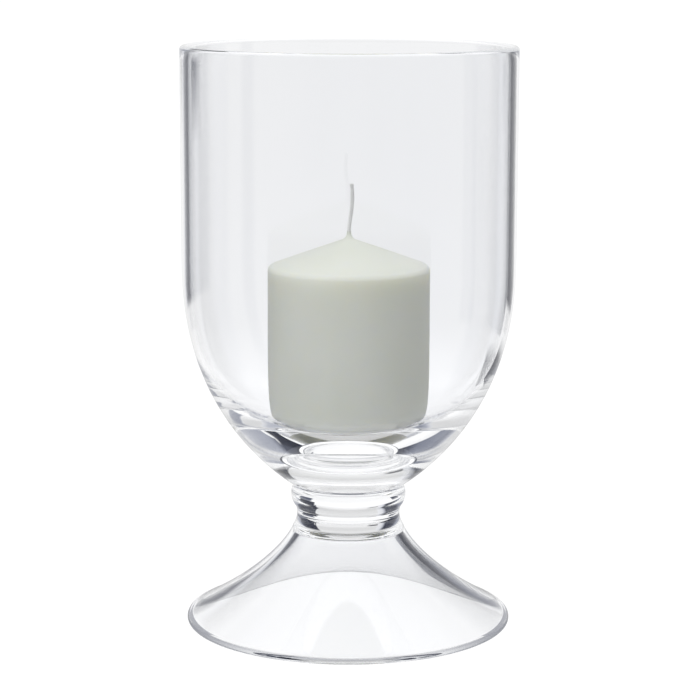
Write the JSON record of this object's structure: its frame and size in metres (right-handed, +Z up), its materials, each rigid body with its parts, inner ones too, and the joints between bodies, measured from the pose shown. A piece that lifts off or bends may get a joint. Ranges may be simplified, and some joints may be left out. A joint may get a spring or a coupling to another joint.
{
  "type": "hurricane candle lantern",
  "caption": "Footed hurricane lantern: open clear-glass bowl on a collar, short stem and hollow flared foot, holding a cone-topped ivory pillar candle that lifts out.",
  "frame": {"origin": "centre of the foot's standing ring, on the table", "axes": "+Z up along the lantern's axis; -Y faces the picture's camera; +X to the right in the picture"},
  "size_m": [0.1608, 0.1608, 0.28],
  "materials": {
    "clear_glass": "fire-polished clear blown glass, faint blue-grey in the thick bottom",
    "candle_wax": "satin ivory wax, slightly translucent",
    "wick_cotton": "braided cotton primed with wax",
    "tinned_steel": "tin-plated sheet, dull"
  },
  "bodies": {
    "lantern": {"foot": "clear_glass", "stem": "clear_glass", "collar_ring": "clear_glass", "bowl": "clear_glass"},
    "candle": {"candle_body": "candle_wax", "wick": "wick_cotton", "wick_sustainer": "tinned_steel"}
  },
  "joints": [
    {"name": "candle_lift", "type": "slide", "parent": "lantern", "child": "candle", "axis": [0, 0, 1], "range_m": [0, 0.2]}
  ]
}
